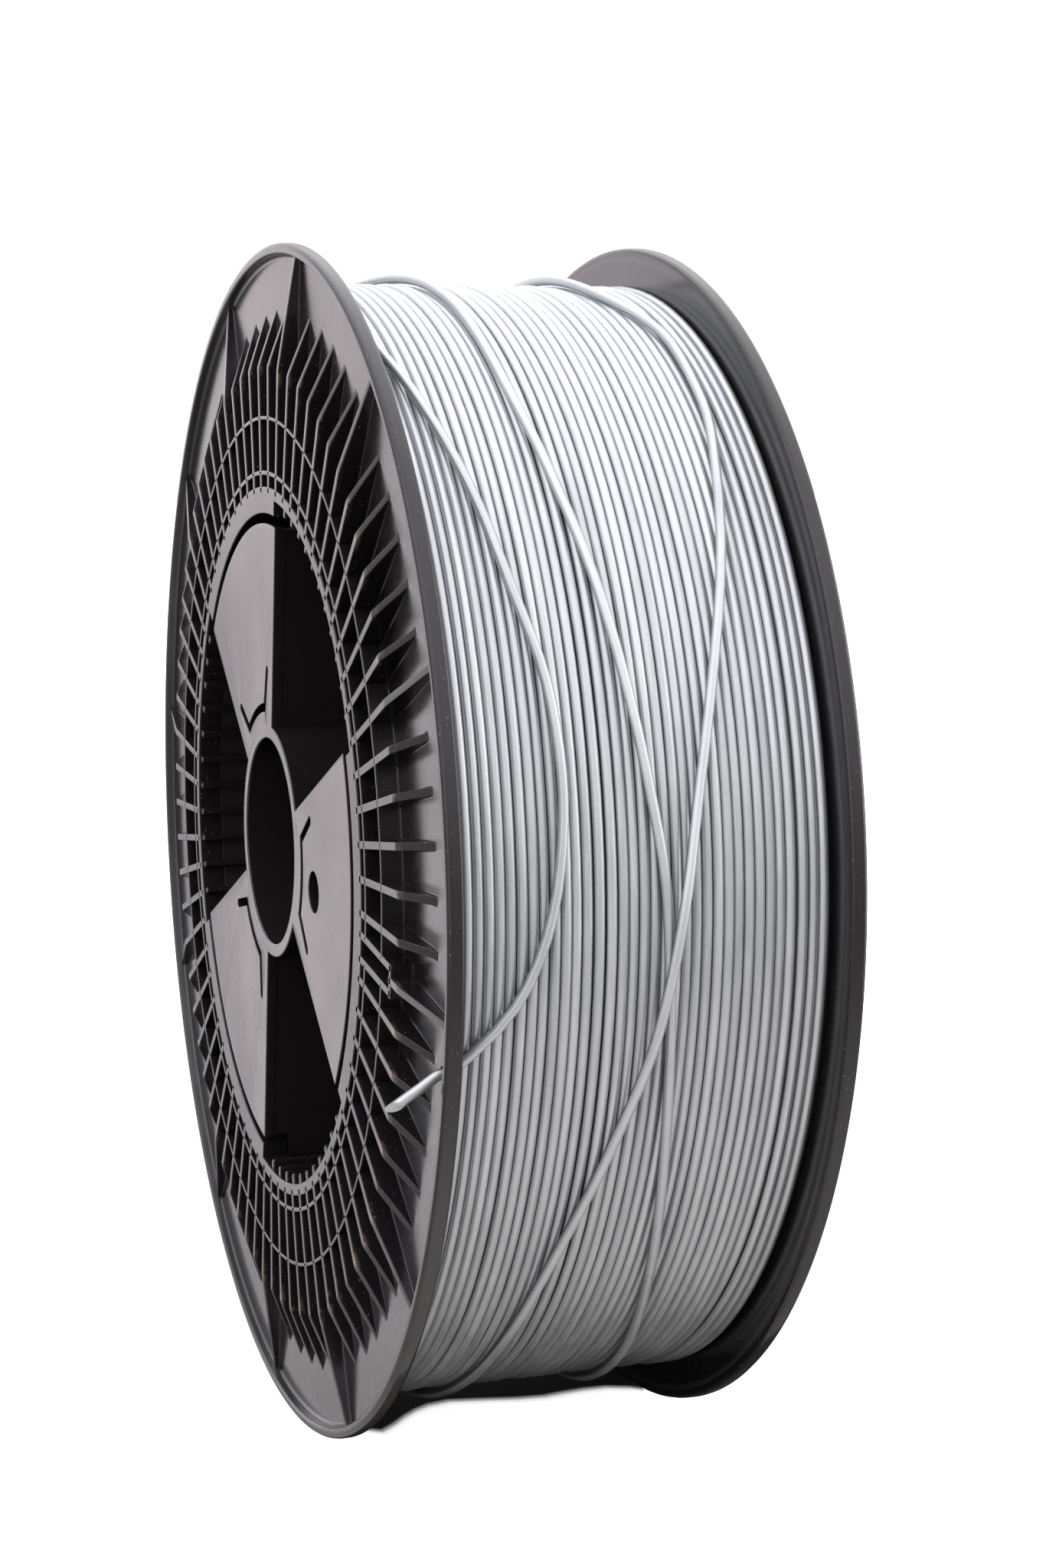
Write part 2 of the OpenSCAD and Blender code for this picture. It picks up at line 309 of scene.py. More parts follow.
def material(name, base, rough, **sockets):
    """A principled material; a socket's name is given with _ for each space."""
    mat = bpy.data.materials.new(name)
    mat.use_nodes = True
    shader = principled(mat)
    shader.inputs["Base Color"].default_value = (*base, 1)
    shader.inputs["Roughness"].default_value = rough
    for socket, value in sockets.items():
        shader.inputs[socket.replace("_", " ")].default_value = value
    return mat


def noise_node(tree, vector, scale, detail=3, rough=0.55):
    node = tree.nodes.new("ShaderNodeTexNoise")
    node.inputs["Scale"].default_value = scale
    node.inputs["Detail"].default_value = detail
    node.inputs["Roughness"].default_value = rough
    tree.links.new(vector, node.inputs["Vector"])
    return node.outputs["Fac"]


def remap(tree, value, low, high, new_low, new_high, way="LINEAR"):
    node = tree.nodes.new("ShaderNodeMapRange")
    node.interpolation_type = way
    node.inputs["From Min"].default_value = low
    node.inputs["From Max"].default_value = high
    node.inputs["To Min"].default_value = new_low
    node.inputs["To Max"].default_value = new_high
    tree.links.new(value, node.inputs["Value"])
    return node.outputs["Result"]


def calc(tree, operation, *values):
    node = tree.nodes.new("ShaderNodeMath")
    node.operation = operation
    for socket, value in zip(node.inputs, values):
        if isinstance(value, (int, float)):
            socket.default_value = value
        else:
            tree.links.new(value, socket)
    return node.outputs[0]


def product(tree, *values):
    return functools.reduce(lambda a, b: calc(tree, "MULTIPLY", a, b), values)


def total(tree, *values):
    return functools.reduce(lambda a, b: calc(tree, "ADD", a, b), values)


def band(tree, value, rise, fall):
    """1 between two soft edges, each given as the two values that it runs between."""
    return product(tree, remap(tree, value, *rise, 0, 1), remap(tree, value, *fall, 1, 0))


def mix_colour(tree, fac, a, b):
    node = tree.nodes.new("ShaderNodeMix")
    node.data_type = "RGBA"
    tree.links.new(fac, node.inputs[0])
    for socket, value in ((node.inputs[6], a), (node.inputs[7], b)):
        if isinstance(value, tuple):
            socket.default_value = (*value, 1)
        else:
            tree.links.new(value, socket)
    return node.outputs[2]


def bump(tree, shader, height, strength, distance):
    node = tree.nodes.new("ShaderNodeBump")
    node.inputs["Strength"].default_value = strength
    node.inputs["Distance"].default_value = distance
    tree.links.new(height, node.inputs["Height"])
    tree.links.new(node.outputs["Normal"], shader.inputs["Normal"])


def split(tree, vector):
    """The x, y and z of a vector."""
    node = tree.nodes.new("ShaderNodeSeparateXYZ")
    tree.links.new(vector, node.inputs[0])
    return node.outputs


def object_position(tree):
    """The place on the piece, in metres in the row frame."""
    return tree.nodes.new("ShaderNodeTexCoord").outputs["Object"]


# ---- materials ----

def black_plastic(name, base, rough_flat, rough_top, scuffs=False, **sockets):
    """Glossy black moulding: mirror-like flats, fine haze and, with scuffs, specks and wear."""
    mat = material(name, base, rough_flat, IOR=1.5, Specular_Tint=(1, 0.945, 0.98, 1), **sockets)
    tree, shader = mat.node_tree, principled(mat)
    where = object_position(tree)
    x, y, z = split(tree, where)
    height = calc(tree, "ABSOLUTE", y)
    haze = noise_node(tree, where, 28, 5, 0.6)
    fine = noise_node(tree, where, 900, 2)
    level = total(tree, remap(tree, height, *mm(TOP_FACE - 1.5, TOP_FACE - 0.2),
                              rough_flat, rough_top),
                  remap(tree, haze, 0.35, 0.7, -0.02, 0.05),
                  remap(tree, fine, 0.4, 0.7, 0, 0.04))
    tree.links.new(level, shader.inputs["Roughness"])
    if scuffs:
        radius = calc(tree, "SQRT", total(tree, product(tree, x, x), product(tree, z, z)))
        dust = remap(tree, noise_node(tree, where, 1500, 0), 0.79, 0.83, 0, 0.4)
        colour = mix_colour(tree, dust, base, (0.16, 0.15, 0.145))
        # Pale patches on the tops of the ribs, where they kink
        patches = product(tree, band(tree, radius, mm(KINK_R - 5.5, KINK_R - 1),
                                     mm(KINK_R + 0.5, KINK_R + 3.5)),
                          remap(tree, height, *mm(TOP_FACE - 1.2, TOP_FACE - 0.2), 0, 1),
                          remap(tree, noise_node(tree, where, 170, 3, 0.7), 0.48, 0.62, 0, 0.6))
        colour = mix_colour(tree, patches, colour, (0.2, 0.14, 0.1))
        # Paler grey low on the rim, mostly on the near one
        pale_low_rim = product(tree, remap(tree, radius, *mm(FLANGE_R - 1, FLANGE_R - 0.1), 0, 1),
                       remap(tree, z, *mm(-35, -80), 0, 1),
                       remap(tree, y, *mm(-10, 10), 1, 0.2),
                       remap(tree, haze, 0.3, 0.65, 0.6, 1))
        colour = mix_colour(tree, pale_low_rim, colour, (0.055, 0.047, 0.046))
        # Haze in the corner inside the lip
        lip = band(tree, radius, mm(LIP_R - 1.2, LIP_R - 0.3), mm(LIP_R + 0.2, LIP_R + 0.6))
        colour = mix_colour(tree, lip, colour, (0.028, 0.028, 0.03))
        tree.links.new(colour, shader.inputs["Base Color"])
    bump(tree, shader, noise_node(tree, where, 60, 2), 0.04, 0.0006)
    return mat


def filament_satin():
    """Satin silver strand: soft metallic lustre, streaks along the strand, tone by turn, painted
    shade between the strands and painted light at the top.
    """
    mat = material("filament_satin", (0.5, 0.51, 0.53), 0.34, Metallic=0.7, IOR=1.46)
    tree, shader = mat.node_tree, principled(mat)
    uv_map = tree.nodes.new("ShaderNodeUVMap")
    uv_map.uv_map = UV_NAME
    uv = uv_map.outputs["UV"]
    where = object_position(tree)
    z = split(tree, where)[2]
    streaks = noise_node(tree, uv, 14, 4, 0.6)
    turns = noise_node(tree, uv, 1.6, 1)
    grain = noise_node(tree, where, 5200, 2)
    tone = total(tree, remap(tree, streaks, 0.3, 0.7, -0.45, 0.45),
                 remap(tree, grain, 0.3, 0.7, -0.22, 0.22),
                 remap(tree, turns, 0.3, 0.7, -0.6, 0.6))
    colour = mix_colour(tree, remap(tree, tone, -0.8, 0.8, 0, 1),
                        (0.37, 0.38, 0.394), (0.57, 0.579, 0.593))
    # Painted shade between neighbouring strands, which fades towards the top of the spool
    outward = calc(tree, "COSINE", product(tree, split(tree, uv)[1], 2 * math.pi / UV_GIRTH))
    painted_groove_shade = product(tree, remap(tree, outward, -0.05, 0.3, 1, 0),
                    remap(tree, z, *mm(20, 110), 0.9, 0))
    colour = mix_colour(tree, painted_groove_shade, colour, (0.08, 0.086, 0.096))
    # The photograph's wash-out by the light from behind, at the top of the spool
    wash = remap(tree, z, *mm(90, 140), 0, 0.5)
    colour = mix_colour(tree, wash, colour, (0.6, 0.62, 0.65))
    tree.links.new(colour, shader.inputs["Base Color"])
    tree.links.new(remap(tree, streaks, 0.3, 0.7, 0.34, 0.46), shader.inputs["Roughness"])
    bump(tree, shader, grain, 0.12, 0.0002)
    return mat


black_flange = black_plastic("plastic_black_flange", (0.0092, 0.008, 0.0088), 0.16, 0.19,
                             scuffs=True)
# The drum's black is paler than the flanges', and the hub's a little: painted light for the dimly
# lit insides of the drum and the bore
black_drum = black_plastic("plastic_black_drum", (0.014, 0.0115, 0.012), 0.3, 0.3,
                           Specular_IOR_Level=0.2)
black_hub = black_plastic("plastic_black_hub", (0.0105, 0.009, 0.0098), 0.11, 0.11)
silver = filament_satin()


# ---- flanges: lathed body, ribs, rings, fork, pads and fins ----

def bar_outline(height, half):
    """Outline of a rib: filleted feet, slight draft and a rounded top, as (sideways, up)."""
    # The foot's fillet is flatter where the rib is lower than 1.2 mm
    k = min(1.0, height / 1.2)
    side = [(half + 0.45, -0.25), (half + 0.3, 0.03 * k), (half + 0.1, 0.14 * k),
            (half, 0.42 * k), (half - 0.05, max(height - 0.28, 0.5 * height)),
            (half - 0.12, max(height - 0.09, 0.8 * height)), (half - 0.3, height)]
    return side + [(-v, h) for v, h in reversed(side)]


def add_bar(shape, angle, offset, stations, half=RIB_W / 2):
    """A rib along a radius, moved sideways by an offset; stations are (r, top height)."""
    a = math.radians(angle)
    c, s = math.cos(a), math.sin(a)
    shape.loft([[(c * r - s * (v + offset), s * r + c * (v + offset), DISC_FACE + h)
                 for v, h in bar_outline(top, half)] for r, top in stations])


def rib_stations(start, end, end_h):
    """Full height up to the kink, then a straight slope, with a softened kink."""
    slope = (RIB_H - end_h) / (end - KINK_R)
    return [(start, RIB_H), (KINK_R - 0.8, RIB_H), (KINK_R - 0.2, RIB_H - 0.07 * slope),
            (KINK_R + 0.5, RIB_H - 0.5 * slope - 0.02), (KINK_R + 1.4, RIB_H - 1.4 * slope),
            (end - 0.6, end_h + 0.6 * slope), (end, max(end_h, 0.06))]


def ring_outline(radius, wall):
    """Section of a ring with the same feet as the ribs."""
    half = wall / 2
    side = [(half + 0.5, DISC_FACE - 0.3, 0), (half + 0.32, DISC_FACE + 0.02, 0),
            (half + 0.09, DISC_FACE + 0.14, 0), (half, DISC_FACE + 0.5, 0),
            (half - 0.03, TOP_FACE, 0.22)]
    return rounded([(radius + v, h, r) for v, h, r in side]
                   + [(radius - v, h, r) for v, h, r in reversed(side)], 2)


def flange_body():
    shape = Shape()
    edge = FLANGE_R - 0.01
    shape.lathe(rounded([(DRUM_IN_R, INNER_FACE, 0.1), (edge, INNER_FACE, 1.3),
                         (edge, RIM_FACE, 1.3), (LIP_R, RIM_FACE, 0.55),
                         (LIP_R - 0.35, DISC_FACE, 0.9), (DRUM_R, DISC_FACE, 0.35),
                         (DRUM_R - 0.03, TOP_FACE, 0.3), (DRUM_IN_R, TOP_FACE, 0.3)], 4),
                steps=480)
    return shape


def flange_ribs():
    shape = Shape()
    for radius, wall in (RING_A, RING_B):
        gap = math.degrees(FORK_GAP / 2 / radius)
        shape.lathe(ring_outline(radius, wall), steps=420, start=PLATE_MID + gap,
                    end=PLATE_MID + 360 - gap)
    for i in range(RIB_COUNT):
        angle = PLATE_MID + 360 / RIB_COUNT * i
        if i % LONG_RIB_EVERY:
            add_bar(shape, angle, 0, rib_stations(RIB_START_R, RIB_END_R, 0))
        else:
            start = RIB_START_R if i else FORK_END_R - FORK_BAR
            add_bar(shape, angle, 0, rib_stations(start, LIP_R + 0.5, LONG_RIB_END_H))
    # The fork: two parallel ribs and the bar across their ends
    for side in (-1, 1):
        add_bar(shape, PLATE_MID, side * FORK_GAP / 2,
                [(RIB_START_R, RIB_H), (FORK_END_R, RIB_H)])
    reach = FORK_GAP / 2 + RIB_W / 2
    add_bar(shape, PLATE_MID + 90, FORK_BAR / 2 - FORK_END_R,
            [(-reach, RIB_H), (reach, RIB_H)], FORK_BAR / 2)
    return shape


def flange_pads():
    """The pads around the plates, and the fins in the windows between them."""
    shape = Shape()
    low, high, root = INNER_FACE + 0.2, TOP_FACE - 0.01, RIB_START_R + 0.4
    outline = rounded([(PAD_R, low, 0.2), (root, low, 0), (root, high, 0), (PAD_R, high, 0.35)],
                      3)
    for s in range(3):
        middle = PLATE_MID + s * SECTOR
        shape.lathe(outline, steps=96, start=middle - PLATE_HALF + 1,
                    end=middle + PLATE_HALF - 1)
        for k in range(1, (SECTOR - 2 * PLATE_HALF) // FIN_STEP):
            add_fin(shape, middle + PLATE_HALF + FIN_STEP * k, INNER_FACE - FIN_LEN,
                    TOP_FACE - 0.5)
    return shape


def add_fin(shape, angle, low, high):
    """A fin on the drum's inner wall, with a rounded nose and bevelled ends."""
    a = math.radians(angle)
    c, s = math.cos(a), math.sin(a)
    half = FIN_W / 2
    nose = [(FIN_R + 0.35, -half), (FIN_R + 0.1, -half + 0.12), (FIN_R, -half + 0.38),
            (FIN_R, half - 0.38), (FIN_R + 0.1, half - 0.12), (FIN_R + 0.35, half),
            (DRUM_IN_R + 0.6, half + 0.15), (DRUM_IN_R + 0.6, -half - 0.15)]
    rings = []
    for h, shrink in ((low, 0.3), (low + 0.3, 0), (high - 0.3, 0), (high, 0.3)):
        section = [(r + shrink, v * (1 - shrink)) for r, v in nose]
        rings.append([(c * r - s * v, s * r + c * v, h) for r, v in section])
    shape.loft(rings)


def drill_tail_hole(disc):
    """Cuts the hole in the near flange that the free end is tucked through."""
    axis_r = 0.001
    prism = Shape()
    prism.lathe([(axis_r, INNER_FACE - 2), (HOLE_D / 2, INNER_FACE - 2),
                 (HOLE_D / 2, DISC_FACE + 2), (axis_r, DISC_FACE + 2)], steps=40)
    prism = prism.turned(0, polar(HOLE_R, HOLE_ANGLE))
    # The weld also closes the prism on its axis
    cutter = link("cutter", welded_mesh("cutter", prism, near_side, 5 * axis_r * MM))
    cut = disc.modifiers.new("hole", "BOOLEAN")
    cut.object = cutter
    cut.solver = "EXACT"
    apply_modifiers(disc)
    bpy.data.objects.remove(cutter)
    set_normals(disc)


body, ribs, pads = flange_body(), flange_ribs(), flange_pads()
for side, place in SIDES:
    disc = make(side + "_flange_body", body, place, black_flange,
                [side + "_flange"])
    make(side + "_flange_ribs", ribs, place, black_flange, [side + "_flange"])
    make(side + "_flange_pads_and_fins", pads, place, black_flange,
         [side + "_flange", side + "_drum_half"])
    if side == "near":
        drill_tail_hole(disc)


# ---- drum halves, hub webs and sleeve ----

def drum_wall():
    """One half of the drum, just short of the other half in the middle."""
    low = 0.02
    shape = Shape()
    shape.lathe(rounded([(DRUM_IN_R, low, 0.25), (DRUM_R, low, 0.25), (DRUM_R, INNER_FACE, 0.1),
                         (DRUM_IN_R, INNER_FACE, 0.1)], 2), steps=240)
    return shape


def tongue_cut():
    """Outline of the U-shaped cut around a plate's tongue, which lies along +x."""
    half = CUT_W / 2
    knee, tip = Vector(polar(CUT_R, CUT_HALF)), Vector(polar(CUT_TIP_R, CUT_TIP_HALF))
    leg = (tip - knee).normalized()
    start = math.atan2(-leg.x, leg.y)
    cap = []
    for k in range(9):
        t = start + math.pi * k / 8
        cap.append(tuple(tip + half * Vector((math.cos(t), math.sin(t)))))
    front = [polar(CUT_R + half, CUT_HALF * k / 8) for k in range(-7, 8)]
    back = [polar(CUT_R - half, CUT_HALF * k / 8) for k in range(8, -9, -1)]
    return front + cap + back + [(x, -y) for x, y in reversed(cap)]


def plate(with_hole):
    """A sector plate along +x with its U-shaped cut, and the driving hole in one."""
    inner = (BORE_R + HUB_R) / 2
    outline = [polar(inner, a) for a in range(PLATE_HALF, -PLATE_HALF - 1, -3)]
    outline += [polar(PLATE_R, a) for a in range(-PLATE_HALF, PLATE_HALF + 1)]
    loops = [outline, tongue_cut()]
    if with_hole:
        circle = [polar(DRIVE_D / 2, a) for a in range(0, 360, 6)]
        loops.append([(DRIVE_R + x, y) for x, y in circle])
    return filled(loops, TOP_FACE - PLATE_T, TOP_FACE - 0.02, 0.3)


def edge_wall(side):
    """The wall under a plate's radial edge, drawn flat in (radius, height) and stood up."""
    foot = TOP_FACE - PLATE_T - WALL_H
    head = TOP_FACE - PLATE_T / 2
    toe = INNER_FACE - 0.3
    root = HUB_R - 0.6
    flat = filled([[(root, foot), (DRUM_IN_R - 0.3, foot), (DRUM_IN_R - 0.3, toe),
                    (PLATE_R - WALL_INSET, toe), (PLATE_R - WALL_INSET, head), (root, head)]],
                  -WALL_T / 2, WALL_T / 2, 0.25)
    middle = -side * (WALL_INSET + WALL_T / 2)
    stood = Shape()
    stood.add([(x, z + middle, y) for x, y, z in flat.verts], flat.faces)
    return stood.turned(side * PLATE_HALF)


def hub_web():
    """The collar around the bore with its three plates and their edge walls."""
    web = Shape()
    low = TOP_FACE - COLLAR_LEN
    web.lathe(rounded([(BORE_R, low, 0.2), (HUB_R, low, 0.2), (HUB_R + 0.25, TOP_FACE, 0.35),
                       (BORE_R, TOP_FACE, 0.45)], 3), steps=180)
    walls = [edge_wall(s) for s in (-1, 1)]
    for s in range(3):
        for part in [plate(with_hole=s == 0)] + walls:
            web.join(part.turned(PLATE_MID + s * SECTOR))
    return web


def hub_tube():
    shape = Shape()
    half = TOP_FACE - COLLAR_LEN
    shape.lathe(rounded([(r, h, 0.2) for r, h in ((BORE_R, -half), (HUB_R, -half),
                                                 (HUB_R, half), (BORE_R, half))], 2),
                steps=180)
    return shape


drum, web = drum_wall(), hub_web()
for side, place in SIDES:
    make(side + "_drum_wall", drum, place, black_drum, [side + "_drum_half"])
    make(side + "_hub", web, place, black_hub, [side + "_hub_web"])
make("hub_tube", hub_tube(), near_side, black_drum, ["hub_sleeve"])


# ---- filament ----

# The last loose turns: angle wound from 180 degrees, and the place along the spindle in mm
LOOSE = [(0, -41.2), (30, -41.0), (60, -35), (88, -17.5), (104, -14.4), (124.5, -13.4), (137, -10),
         (149, -5.4), (159, -2), (168, 1), (176, 3.7), (185, 5), (200, 7.3), (217, 11.4),
         (236, 16.2), (270, 20.5), (360, 21.5), (440, 22.6), (461, 24.5), (479, 33), (489, 32.6),
         (497, 29.6), (506, 25.4), (521, 16.3), (534, 9.2), (548, 2.6), (559, -4.1), (575, -14),
         (593, -19), (620, -22.5), (660, -26.5), (720, -34.5), (780, -39.8), (825, -40.9),
         (837.5, -40.2), (846, -36), (859, -29.2), (869, -24.9), (879, -19.8), (887, -18.6),
         (895, -20.3), (902, -24.7), (907, -31.3), (910, -38.6), (911.4, -41.6), (912.2, -43.5)]
# How many strands the turn lies above the outer layer
LEVELS = [(0, 0), (45, 1), (527, 1), (539, 2), (549, 2), (562, 1), (735, 1), (750, 1.8),
          (765, 2), (780, 1.9), (800, 1), (907.5, 1), (910.5, 0.85), (911.6, 0.55), (912.2, 0.31)]
# The free end outside the flange: (outwards, down) from the middle of its hole, in mm
TAIL = [(0.8, 0), (1.6, 0), (2.4, 0.2), (3.4, 0.75), (4.6, 1.55), (6.2, 2.65), (8.2, 3.9),
        (10.2, 5.15), (12.1, 6.4)]
LOOSE_END = LOOSE[-1][0]
LAYER_START_Y = 42.2
LAYER_END_Y = LOOSE[0][1]
TURNS = 33.8
RINGS_PER_TURN = 120
MAX_DIP = 0.5
# The under-layer lies in the grooves of the outer one
UNDER_R = LAYER_R - 2 * STRAND_R * math.cos(math.radians(30))
UNDER_Y = 41.6
UNDER_TURNS = 34
UNDER_RINGS_PER_TURN = 90


def smooth_lookup(table, x):
    """Cubic through the table's points, with slopes that never overshoot."""
    keys = [k for k, _ in table]
    i = min(max(bisect.bisect_right(keys, x) - 1, 0), len(table) - 2)

    def slope(j):
        if j <= 0 or j >= len(table) - 1:
            return 0.0
        (x0, y0), (x1, y1), (x2, y2) = table[j - 1:j + 2]
        a, b = (y1 - y0) / (x1 - x0), (y2 - y1) / (x2 - x1)
        if a * b <= 0:
            return 0.0
        harmonic = 2 * a * b / (a + b)
        capped = min(abs((a + b) / 2), 3 * abs(a), 3 * abs(b))
        return (harmonic + math.copysign(capped, a)) / 2

    (x0, y0), (x1, y1) = table[i], table[i + 1]
    h = x1 - x0
    t = min(max((x - x0) / h, 0), 1)
    m0, m1 = slope(i) * h, slope(i + 1) * h
    return ((2 * t ** 3 - 3 * t ** 2 + 1) * y0 + (t ** 3 - 2 * t ** 2 + t) * m0
            + (3 * t ** 2 - 2 * t ** 3) * y1 + (t ** 3 - t ** 2) * m1)


def layer_path():
    """The outer layer, wound from the far flange to the near one, as (angle, y, radius).

    It has a few open gaps, and some turns lie a little deeper."""
    rng = random.Random(7)
    # Where each lies, counted in turns, how strong it is and over how many turns it spreads
    gaps = [(rng.uniform(0.5, TURNS - 0.5), rng.uniform(0.15, 1.0), rng.uniform(0.25, 0.6))
            for _ in range(26)]
    gaps += [(TURNS - 13.2, 3.0, 0.4), (TURNS - 31.0, 2.2, 0.4)]
    dips = [(rng.uniform(0, TURNS), rng.uniform(0.1, 0.55), rng.uniform(0.15, 0.7))
            for _ in range(42)]
    turns = [i / RINGS_PER_TURN for i in range(int(TURNS * RINGS_PER_TURN) + 1)]
    extra = [sum(w * math.exp(-((turn - c) / s) ** 2) / s for c, w, s in gaps)
             for turn in turns]
    # The gaps are scaled to take up what the strands leave free between the flanges
    slack = LAYER_START_Y - LAYER_END_Y - TURNS * 2 * STRAND_R
    scale = slack / (sum(extra) / RINGS_PER_TURN)
    y = LAYER_START_Y
    points = []
    for turn, gap in zip(turns, extra):
        dip = sum(w * math.exp(-((turn - c) / s) ** 2) for c, w, s in dips)
        angle = math.radians(180 + (TURNS - turn) * 360)
        points.append((angle, y, LAYER_R - min(dip, MAX_DIP)))
        y -= (2 * STRAND_R + gap * scale) / RINGS_PER_TURN
    return points


def loose_path():
    """The loose turns over the layer, as (angle, y, radius), in steps two thirds as long."""
    count = int(LOOSE_END / (360 / RINGS_PER_TURN / 1.5))
    points = []
    for i in range(1, count + 1):
        wound = LOOSE_END * i / count
        points.append((math.radians(180 - wound), smooth_lookup(LOOSE, wound),
                       LAYER_R + smooth_lookup(LEVELS, wound) * 2 * STRAND_R))
    return points


def strand_points():
    """The whole strand: the layer, the loose turns and the tail through its hole."""
    points = [Vector((r * math.cos(a), y, r * math.sin(a)))
              for a, y, r in layer_path() + loose_path()]
    x, z = polar(HOLE_R, HOLE_ANGLE)
    hole = Vector((x, -INNER_FACE, z))
    return points + [hole + Vector((0, -out, -down)) for out, down in TAIL]


def under_layer_points():
    rings = UNDER_TURNS * UNDER_RINGS_PER_TURN
    points = []
    for i in range(rings + 1):
        x, z = polar(UNDER_R, 360 / UNDER_RINGS_PER_TURN * i)
        points.append(Vector((x, -UNDER_Y + 2 * UNDER_Y * i / rings, z)))
    return points


def add_tube(name, points, sides, nodes, slanted_end=False):
    """A strand along points, with its length and girth kept as UVs."""
    last = len(points) - 1
    lengths = [0.0]
    rings = []
    for i, p in enumerate(points):
        if i:
            lengths.append(lengths[-1] + (p - points[i - 1]).length)
        tangent = (points[min(i + 1, last)] - points[max(i - 1, 0)]).normalized()
        out = Vector((p.x, 0, p.z)).normalized()
        side = tangent.cross(out).normalized()
        up = side.cross(tangent)
        slant = 1.6 * STRAND_R if slanted_end and i == last else 0
        ring = []
        for k in range(sides):
            t = 2 * math.pi * k / sides
            around = up * math.cos(t) + side * math.sin(t)
            ring.append(p + around * STRAND_R - tangent * (slant * math.cos(t)))
        rings.append(ring)
    tube = Shape()
    tube.loft(rings)
    uvs = []
    for start, end in zip(lengths, lengths[1:]):
        for k in range(sides):
            uvs += [(start, k), (start, k + 1), (end, k + 1), (end, k)]
    uvs += [(0, 0)] * sides + [(lengths[-1], 0)] * sides
    mesh = bpy.data.meshes.new(name)
    mesh.from_pydata([p * MM for p in tube.verts], [], tube.faces)
    layer = mesh.uv_layers.new(name=UV_NAME)
    for loop, (u, v) in zip(layer.data, uvs):
        loop.uv = (u * UV_LENGTH, v / sides * UV_GIRTH)
    mesh.set_sharp_from_angle(angle=STRAND_SHARP_ANGLE)
    mesh.materials.append(silver)
    declare(link(name, mesh), nodes)


def inner_layers():
    """A plain roll for the layers that the two outer ones hide."""
    shape = Shape()
    low, high, end = DRUM_R + 0.3, UNDER_R - 0.2, INNER_FACE - 0.3
    shape.lathe([(low, -end), (high, -end), (high, end), (low, end)], steps=180)
    return shape


add_tube("filament_strand", strand_points(), 12, ["filament"], slanted_end=True)
add_tube("winding_under_layer", under_layer_points(), 8, ["winding_core"])
make("winding_inner_layers", inner_layers(), near_side, silver,
     ["winding_core"])


# ---- floor and light ----

def add_stage(name, verts, faces, depth, mat):
    """A flat piece of the surroundings, in mm, at a depth below the spool's lowest line."""
    mesh = bpy.data.meshes.new(name)
    mesh.from_pydata([(x * MM, y * MM, 0) for x, y in verts], [], faces)
    mesh.materials.append(mat)
    piece = link(name, mesh)
    piece.location = (0, 0, -(FLANGE_R + depth) * MM)
    return piece


def add_sheet(name, low, high, depth, mat):
    corners = [(low[0], low[1]), (high[0], low[1]), (high[0], high[1]), (low[0], high[1])]
    return add_stage(name, corners, [(0, 1, 2, 3)], depth, mat)


def floor():
    white = add_sheet("floor", (-6000, -6000), (6000, 6000), 0.1,
                      material("floor_white", (0.75, 0.75, 0.75), 0.9,
                               Emission_Color=(1, 1, 1, 1), Emission_Strength=0.93))
    white.visible_glossy = False
    white.visible_diffuse = False
    # The shaded floor between the rims, which shows only in reflections and in bounced light
    card = add_sheet("floor_shade", (-100, -47.5), (90, 100), 0.2,
                     material("floor_shade", (0.05, 0.05, 0.05), 0.9))
    card.visible_camera = False


def contact_shadow():
    """The soft-edged dark shadow on the floor between the rims."""
    # Its front edge as (y, x) in mm
    edge = [(-43.5, 2), (-39, 12), (-35, 19), (-31.5, 25), (-28.5, 27), (-24.5, 23.5),
            (-20, 18.5), (-16, 15), (-12, 12.5), (-6, 11.2), (3, 13), (11.5, 15), (19, 15.8),
            (24.5, 14.8), (31, 14), (37, 14.2), (43, 16.5), (46, 19)]
    verts, faces, dark = [], [], []
    for i, (y, x) in enumerate(edge):
        # From the back to the front edge: x and how dark it is there
        row = ((-30, 0), (-22, 1), (x - 2.5, 1), (x - 0.6, 0.7), (x + 1, 0.2), (x + 3, 0))
        n = len(row)
        verts += [(place, y) for place, _ in row]
        dark += [level for _, level in row]
        if i:
            faces += [(n * (i - 1) + k, n * (i - 1) + k + 1, n * i + k + 1, n * i + k)
                      for k in range(n - 1)]
    mat = material("contact_shadow", (0.012, 0.01, 0.01), 0.9)
    piece = add_stage("contact_shadow", verts, faces, 0.05, mat)
    piece.data.attributes.new("dark", "FLOAT", "POINT").data.foreach_set("value", dark)
    level = mat.node_tree.nodes.new("ShaderNodeAttribute")
    level.attribute_name = "dark"
    mat.node_tree.links.new(level.outputs["Fac"], principled(mat).inputs["Alpha"])


def lobe(tree, direction, way, inner, outer, radiance):
    """A soft round source in the surroundings, full within one angle and gone at the other."""
    dot = tree.nodes.new("ShaderNodeVectorMath")
    dot.operation = "DOT_PRODUCT"
    dot.inputs[1].default_value = Vector(way).normalized()
    tree.links.new(direction, dot.inputs[0])
    return remap(tree, dot.outputs["Value"], math.cos(math.radians(outer)),
                 math.cos(math.radians(inner)), 0, radiance, "SMOOTHSTEP")


# The soft sources: direction, inner and outer angle, radiance
LOBES = (
    ((-0.955, -0.205, -0.22), 11, 36, 0.98),  # the pale patch that the near face mirrors
    ((0.15, 0.97, 0.12), 6, 36, 2.6),  # beyond the far flange
    ((-0.5, 0.1, 0.86), 10, 50, 0.75),  # above and behind
    ((0.62, 0.32, 0.70), 15, 60, 0.3),  # above and in front
    ((0.25, -0.85, 0.4), 12, 50, 0.9),  # beyond the near flange
    ((0.95, -0.15, 0.05), 15, 75, 0.12))  # from the camera's side
# How much of the light the dark edge takes away
EDGE_DARKNESS = 0.78


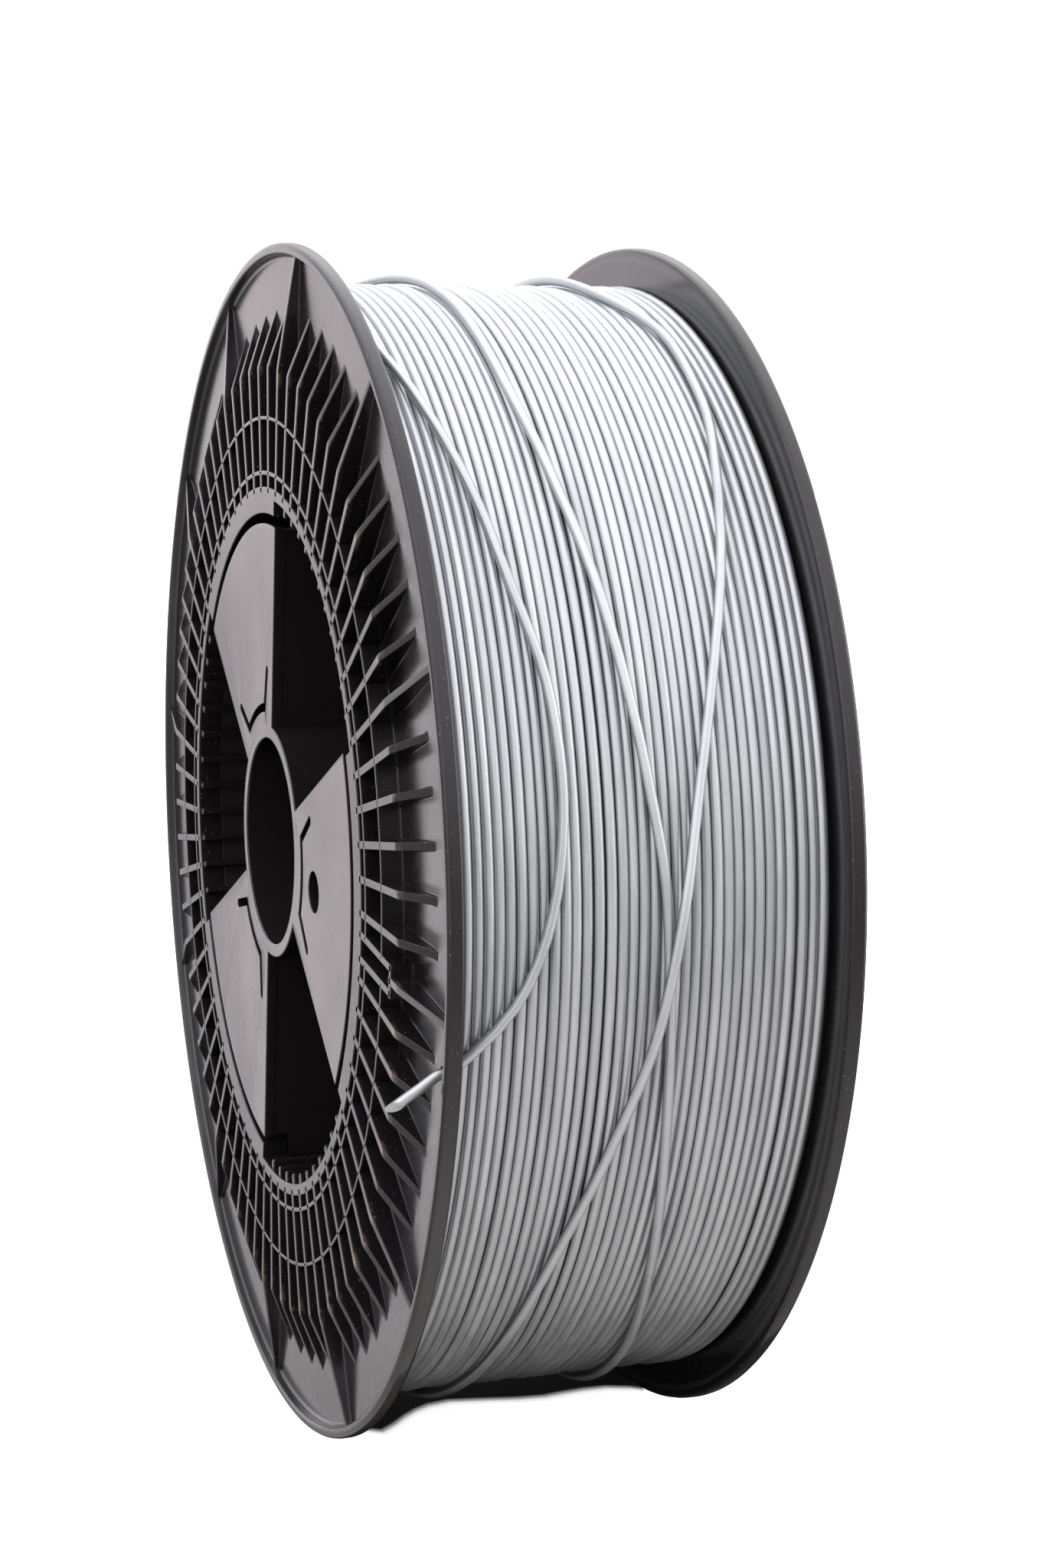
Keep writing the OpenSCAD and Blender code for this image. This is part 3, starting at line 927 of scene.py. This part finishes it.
def radiance_around(tree, direction):
    """Brightness of the surroundings in each direction; a camera ray sees plain white."""
    x, y, up = split(tree, direction)
    sky = remap(tree, up, 0.0, 0.9, 0.5, 1.85)
    # White table in front of the spool
    table = product(tree, remap(tree, x, -0.1, 0.5, 0, 0.62), remap(tree, up, -0.6, -0.25, 1, 0))
    low_cut = remap(tree, up, -0.42, -0.24, 0, 1)
    lobes = [product(tree, lobe(tree, direction, *source), low_cut) for source in LOBES]
    # The dark edge beyond the bright backdrop, mirrored at the left of the near face
    aside = calc(tree, "SUBTRACT", product(tree, x, 0.2), y)
    edge = product(tree, band(tree, aside, (-0.3, -0.2), (0.005, 0.012)),
                   remap(tree, x, -0.8, -0.6, 1, 0),
                   band(tree, up, (-0.45, -0.38), (-0.08, -0.03)))
    open_part = calc(tree, "SUBTRACT", 1, product(tree, edge, EDGE_DARKNESS))
    return product(tree, total(tree, sky, table, *lobes), open_part)


def tint_around(tree, direction):
    """Warm light from below, cool from above, and a rosy cast in the mirrored patch."""
    up = split(tree, direction)[2]
    tint = mix_colour(tree, remap(tree, up, -0.5, 0.6, 0, 1), (1.03, 0.995, 0.975),
                      (0.985, 1.0, 1.025))
    return mix_colour(tree, lobe(tree, direction, (-0.95, -0.22, -0.15), 14, 40, 1), tint,
                      (1.035, 0.965, 1.0))


def surroundings():
    world = bpy.data.worlds.new("studio")
    bpy.context.scene.world = world
    world.use_nodes = True
    tree = world.node_tree
    tree.nodes.clear()
    direction = tree.nodes.new("ShaderNodeTexCoord").outputs["Generated"]
    scaled = tree.nodes.new("ShaderNodeVectorMath")
    scaled.operation = "SCALE"
    tree.links.new(tint_around(tree, direction), scaled.inputs[0])
    tree.links.new(radiance_around(tree, direction), scaled.inputs["Scale"])
    light = tree.nodes.new("ShaderNodeBackground")
    tree.links.new(scaled.outputs[0], light.inputs["Color"])
    white = tree.nodes.new("ShaderNodeBackground")
    white.inputs["Color"].default_value = (1, 1, 1, 1)
    white.inputs["Strength"].default_value = 1.05
    ray = tree.nodes.new("ShaderNodeLightPath")
    mix = tree.nodes.new("ShaderNodeMixShader")
    tree.links.new(ray.outputs["Is Camera Ray"], mix.inputs[0])
    tree.links.new(light.outputs[0], mix.inputs[1])
    tree.links.new(white.outputs[0], mix.inputs[2])
    out = tree.nodes.new("ShaderNodeOutputWorld")
    tree.links.new(mix.outputs[0], out.inputs["Surface"])


floor()
contact_shadow()
surroundings()
